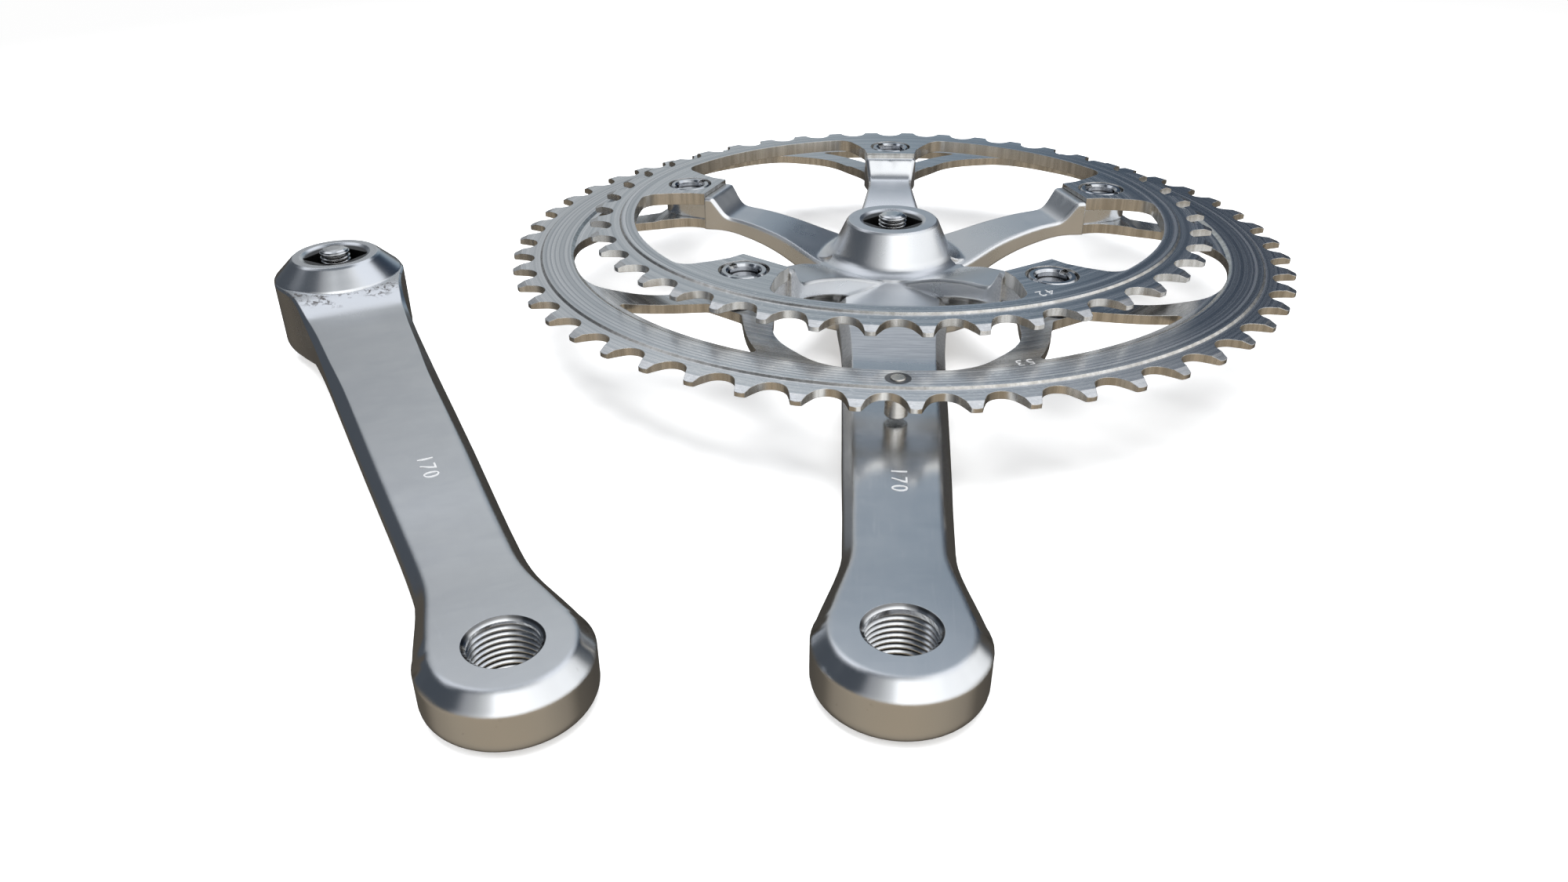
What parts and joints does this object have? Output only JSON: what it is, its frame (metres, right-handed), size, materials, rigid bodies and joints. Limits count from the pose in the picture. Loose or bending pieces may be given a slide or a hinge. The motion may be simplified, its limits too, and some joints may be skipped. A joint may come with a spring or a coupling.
{
  "type": "bicycle crankset",
  "caption": "Double chainring square-taper road crankset lying on its outer face: five-arm right crank with both toothed rings, and the matching left crank beside it.",
  "frame": {"origin": "on the right crank's spindle axis, in the plane of the lowest outer faces (z = 0 is the surface the set lies on)", "axes": "+Z along both spindle axes, away from the outer faces and towards the bottom bracket; the right crank arm points along -Y; the left crank lies at -X with its arm turned 30.8 degrees from -Y towards +X"},
  "size_m": [0.2819, 0.3031, 0.033],
  "materials": {
    "polished_alloy": "polished",
    "anodised_alloy": "satin, lathe turned",
    "bright_plated_steel": "bright plated",
    "cap_plated_steel": "bright plated",
    "zinc_steel": "zinc plated",
    "pin_steel": "turned",
    "crank_bolt_steel": "bright, oiled"
  },
  "bodies": {
    "right_crank": {"right_crank_arm": "polished_alloy", "outer_chainring": "anodised_alloy", "inner_chainring": "anodised_alloy", "chainring_bolt_1": "bright_plated_steel", "chainring_bolt_2": "bright_plated_steel", "chainring_bolt_3": "bright_plated_steel", "chainring_bolt_4": "bright_plated_steel", "chainring_bolt_5": "bright_plated_steel", "chainring_nut_1": "bright_plated_steel", "chainring_nut_2": "bright_plated_steel", "chainring_nut_3": "bright_plated_steel", "chainring_nut_4": "bright_plated_steel", "chainring_nut_5": "bright_plated_steel", "chain_guard_pin": "pin_steel", "right_retaining_cap": "cap_plated_steel"},
    "right_washer": {"right_bolt_washer": "zinc_steel"},
    "right_bolt": {"right_crank_bolt": "crank_bolt_steel"},
    "left_crank": {"left_crank_arm": "polished_alloy", "left_retaining_cap": "cap_plated_steel"},
    "left_washer": {"left_bolt_washer": "zinc_steel"},
    "left_bolt": {"left_crank_bolt": "crank_bolt_steel"}
  },
  "joints": [
    {"name": "right_bolt_float", "type": "slide", "parent": "right_crank", "child": "right_washer", "axis": [0, 0, 1], "range_m": [0, 0.002]},
    {"name": "right_bolt_turn", "type": "hinge", "parent": "right_washer", "child": "right_bolt", "pos_m": [0, 0, 0.008], "axis": [0, 0, 1], "continuous": true},
    {"name": "left_crank_lift", "type": "slide", "parent": "right_crank", "child": "left_crank", "axis": [0, 0, 1], "range_m": [0, 0.12]},
    {"name": "left_bolt_float", "type": "slide", "parent": "left_crank", "child": "left_washer", "axis": [0, 0, 1], "range_m": [0, 0.002]},
    {"name": "left_bolt_turn", "type": "hinge", "parent": "left_washer", "child": "left_bolt", "pos_m": [-0.1551, -0.0317, 0.006], "axis": [0, 0, 1], "continuous": true}
  ]
}
